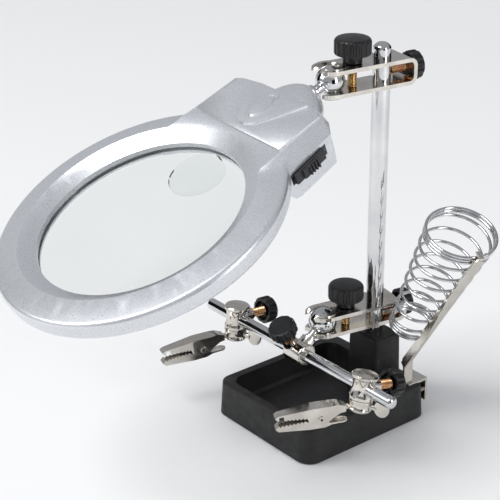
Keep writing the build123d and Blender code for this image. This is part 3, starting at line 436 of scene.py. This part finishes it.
def coil_path(steps=56):
    """Points down the middle of the wire: close turns at each end and open turns between."""
    across = np.array((RING_NORMAL[2], 0, -RING_NORMAL[0]))
    across /= np.linalg.norm(across)
    over = np.cross(RING_NORMAL, across)
    close = 2.15 * WIRE_R / (COIL_HIGH - COIL_LOW).dot(RING_NORMAL)
    spread = (1 - 2 * CLOSE_TURNS * close) / OPEN_TURNS
    total = 2 * CLOSE_TURNS + OPEN_TURNS
    path = []
    for k in range(int(total * steps) + 1):
        turn = k / steps
        t = min(turn, CLOSE_TURNS) * close + max(0, min(turn - CLOSE_TURNS, OPEN_TURNS)) * spread
        t += max(0, turn - CLOSE_TURNS - OPEN_TURNS) * close
        r = COIL_LOW_R + (COIL_HIGH_R - COIL_LOW_R) * t
        a = 2 * pi * turn
        path.append(COIL_LOW + (COIL_HIGH - COIL_LOW) * t + across * (r * cos(a)) + over * (r * sin(a)))
    return path


finish_mesh("coil_wire", swept("coil_wire", coil_path(), WIRE_R), "iron_holder_coil")


# ---------------------------------------------------------------- magnifier
HEAD_REACH, HEAD_RISE = 127.7, 6.1     # from the ball to the middle of the rim, as in the CAD
LENS_EDGE_R, LENS_R = 58.0, 57.95      # where the domes are measured, and the lens itself
LENS_TOP, LENS_UNDER = -1.4, -9.8      # middles of the two domes, from the middle of the rim
TOP_DROP, UNDER_DROP = 2.0, 4.0        # how far each dome falls to its edge

upper_ball, tilt_axis = axis_of("magnifier_tilt")
reach = axis_of("magnifier_twist")[1]
face = np.cross(reach, tilt_axis)
face /= np.linalg.norm(face)
head = upper_ball + reach * HEAD_REACH + face * HEAD_RISE


def dome(r, drop):
    """How far a dome that falls by drop at the lens's edge has fallen at radius r."""
    radius = (LENS_EDGE_R ** 2 + drop ** 2) / (2 * drop)
    return radius - sqrt(radius ** 2 - r ** 2)


radii = np.linspace(TIP, LENS_R, 20)
lens_profile = [(r, LENS_UNDER + dome(r, UNDER_DROP)) for r in radii]
lens_profile += [(r, LENS_TOP - dome(r, TOP_DROP)) for r in radii[::-1]]
finish_mesh("lens_glass", turned("lens_glass", head, face, lens_profile, 160), "main_lens")


# ---------------------------------------------------------------- everything else keeps its CAD shape
EDGE_ROUND = 0.15
EDGE_ROUNDS = {"base_casting": 0.5, "upper_clamp_strap": 0.25, "lower_clamp_strap": 0.25,
               "magnifier_top_shell": 0.2, "magnifier_bottom_shell": 0.2}
PLAIN_EDGES = ("bifocal_lens", "shell_screws", "batteries", "battery_contacts", "light_leds",
               "led_board", "right_clip_spring", "left_clip_spring")
own_looks = {"bifocal_lens": weak_lens}
for node in sorted(frame["nodes"]):
    if not frame["nodes"][node].hide_render:
        edge = 0 if node in PLAIN_EDGES else EDGE_ROUNDS.get(node, EDGE_ROUND)
        remade(node, edge, own_looks.get(node))


# ---------------------------------------------------------------- floor, light and camera
def area_light(name, place, aim, size, power):
    """Soft box at a place, turned towards aim; power is in watts."""
    data = bpy.data.lights.new(name, "AREA")
    data.shape = "RECTANGLE"
    data.size, data.size_y = size
    data.energy = power
    o = bpy.data.objects.new(name, data)
    o.location = place
    o.rotation_euler = (Vector(aim) - Vector(place)).to_track_quat("-Z", "Y").to_euler()
    bpy.context.scene.collection.objects.link(o)


ground = bpy.data.meshes.new("floor")
HALF = 6      # half the floor's side, in metres
ground.from_pydata([(-HALF, -HALF, 0), (HALF, -HALF, 0), (HALF, HALF, 0), (-HALF, HALF, 0)],
                   [], [(0, 1, 2, 3)])
floor = bpy.data.objects.new("floor", ground)
bpy.context.scene.collection.objects.link(floor)
floor_look, _, floor_shader, _ = node_graph("floor_white")
floor_shader.inputs["Base Color"].default_value = (0.92, 0.92, 0.92, 1)
floor_shader.inputs["Roughness"].default_value = 0.7
floor_shader.inputs["Specular IOR Level"].default_value = 0.2
ground.materials.append(floor_look)

world = bpy.data.worlds.new("studio")
world.use_nodes = True
world.node_tree.nodes["Background"].inputs["Color"].default_value = (0.93, 0.95, 1, 1)
world.node_tree.nodes["Background"].inputs["Strength"].default_value = 0.40
bpy.context.scene.world = world

sun = bpy.data.lights.new("soft_sun", "SUN")
sun.energy = 1.5
sun.angle = radians(30)
sun_object = bpy.data.objects.new("soft_sun", sun)
sun_object.rotation_euler = Vector((0.15, 0.6, -1.0)).to_track_quat("-Z", "Y").to_euler()
bpy.context.scene.collection.objects.link(sun_object)
area_light("key_box", (-0.55, -1.05, 0.85), (0, -0.05, 0.12), (0.8, 0.6), 6)
area_light("right_strip", (1.0, 0.15, 0.5), (0, 0, 0.1), (0.25, 0.8), 3)


def dark_card(name, centre, aim, size):
    """Dark panel turned towards aim, seen only in reflections and through the lens."""
    facing = (Vector(aim) - Vector(centre)).to_track_quat("-Z", "Y").to_matrix()
    w, h = size[0] / 2, size[1] / 2
    corners = [Vector(centre) + facing @ Vector(c)
               for c in ((-w, -h, 0), (w, -h, 0), (w, h, 0), (-w, h, 0))]
    mesh = bpy.data.meshes.new(name)
    mesh.from_pydata(corners, [], [(0, 1, 2, 3)])
    mesh.materials.append(card_look)
    o = bpy.data.objects.new(name, mesh)
    bpy.context.scene.collection.objects.link(o)
    o.visible_shadow = False
    o.visible_diffuse = False
    o.visible_camera = False


card_look, _, card_shader, _ = node_graph("card_dark")
card_shader.inputs["Base Color"].default_value = (0.01, 0.01, 0.01, 1)
card_shader.inputs["Roughness"].default_value = 0.9
card_shader.inputs["Specular IOR Level"].default_value = 0.0
dark_card("card_left", (-0.75, -0.55, 0.35), (0, 0, 0.12), (0.5, 0.8))
dark_card("card_front", (0.35, -0.95, 0.12), (0, 0, 0.1), (0.5, 0.22))
dark_card("card_right", (0.85, -0.25, 0.25), (0, 0, 0.1), (0.35, 0.5))
dark_card("card_back", (0.1, 0.9, 0.35), (0, 0, 0.1), (0.7, 0.6))

camera = bpy.data.cameras.new("camera")
camera.lens, camera.sensor_width = 110.85, 36.0      # mm
camera.clip_start = 0.01
camera_object = bpy.data.objects.new("camera", camera)
azimuth, elevation, roll = radians(50.99), radians(24.26), radians(-0.33)
back = Vector((sin(azimuth) * cos(elevation), -cos(azimuth) * cos(elevation), sin(elevation)))
right = Vector((cos(azimuth), sin(azimuth), 0))
up = back.cross(right)
right, up = right * cos(roll) + up * sin(roll), up * cos(roll) - right * sin(roll)
turn = Matrix((right, up, back)).transposed().to_4x4()
camera_object.matrix_world = Matrix.Translation(Vector((0.5755, -0.5184, 0.4517))) @ turn
bpy.context.scene.collection.objects.link(camera_object)
bpy.context.scene.camera = camera_object

bpy.context.scene.view_settings.view_transform = "Standard"
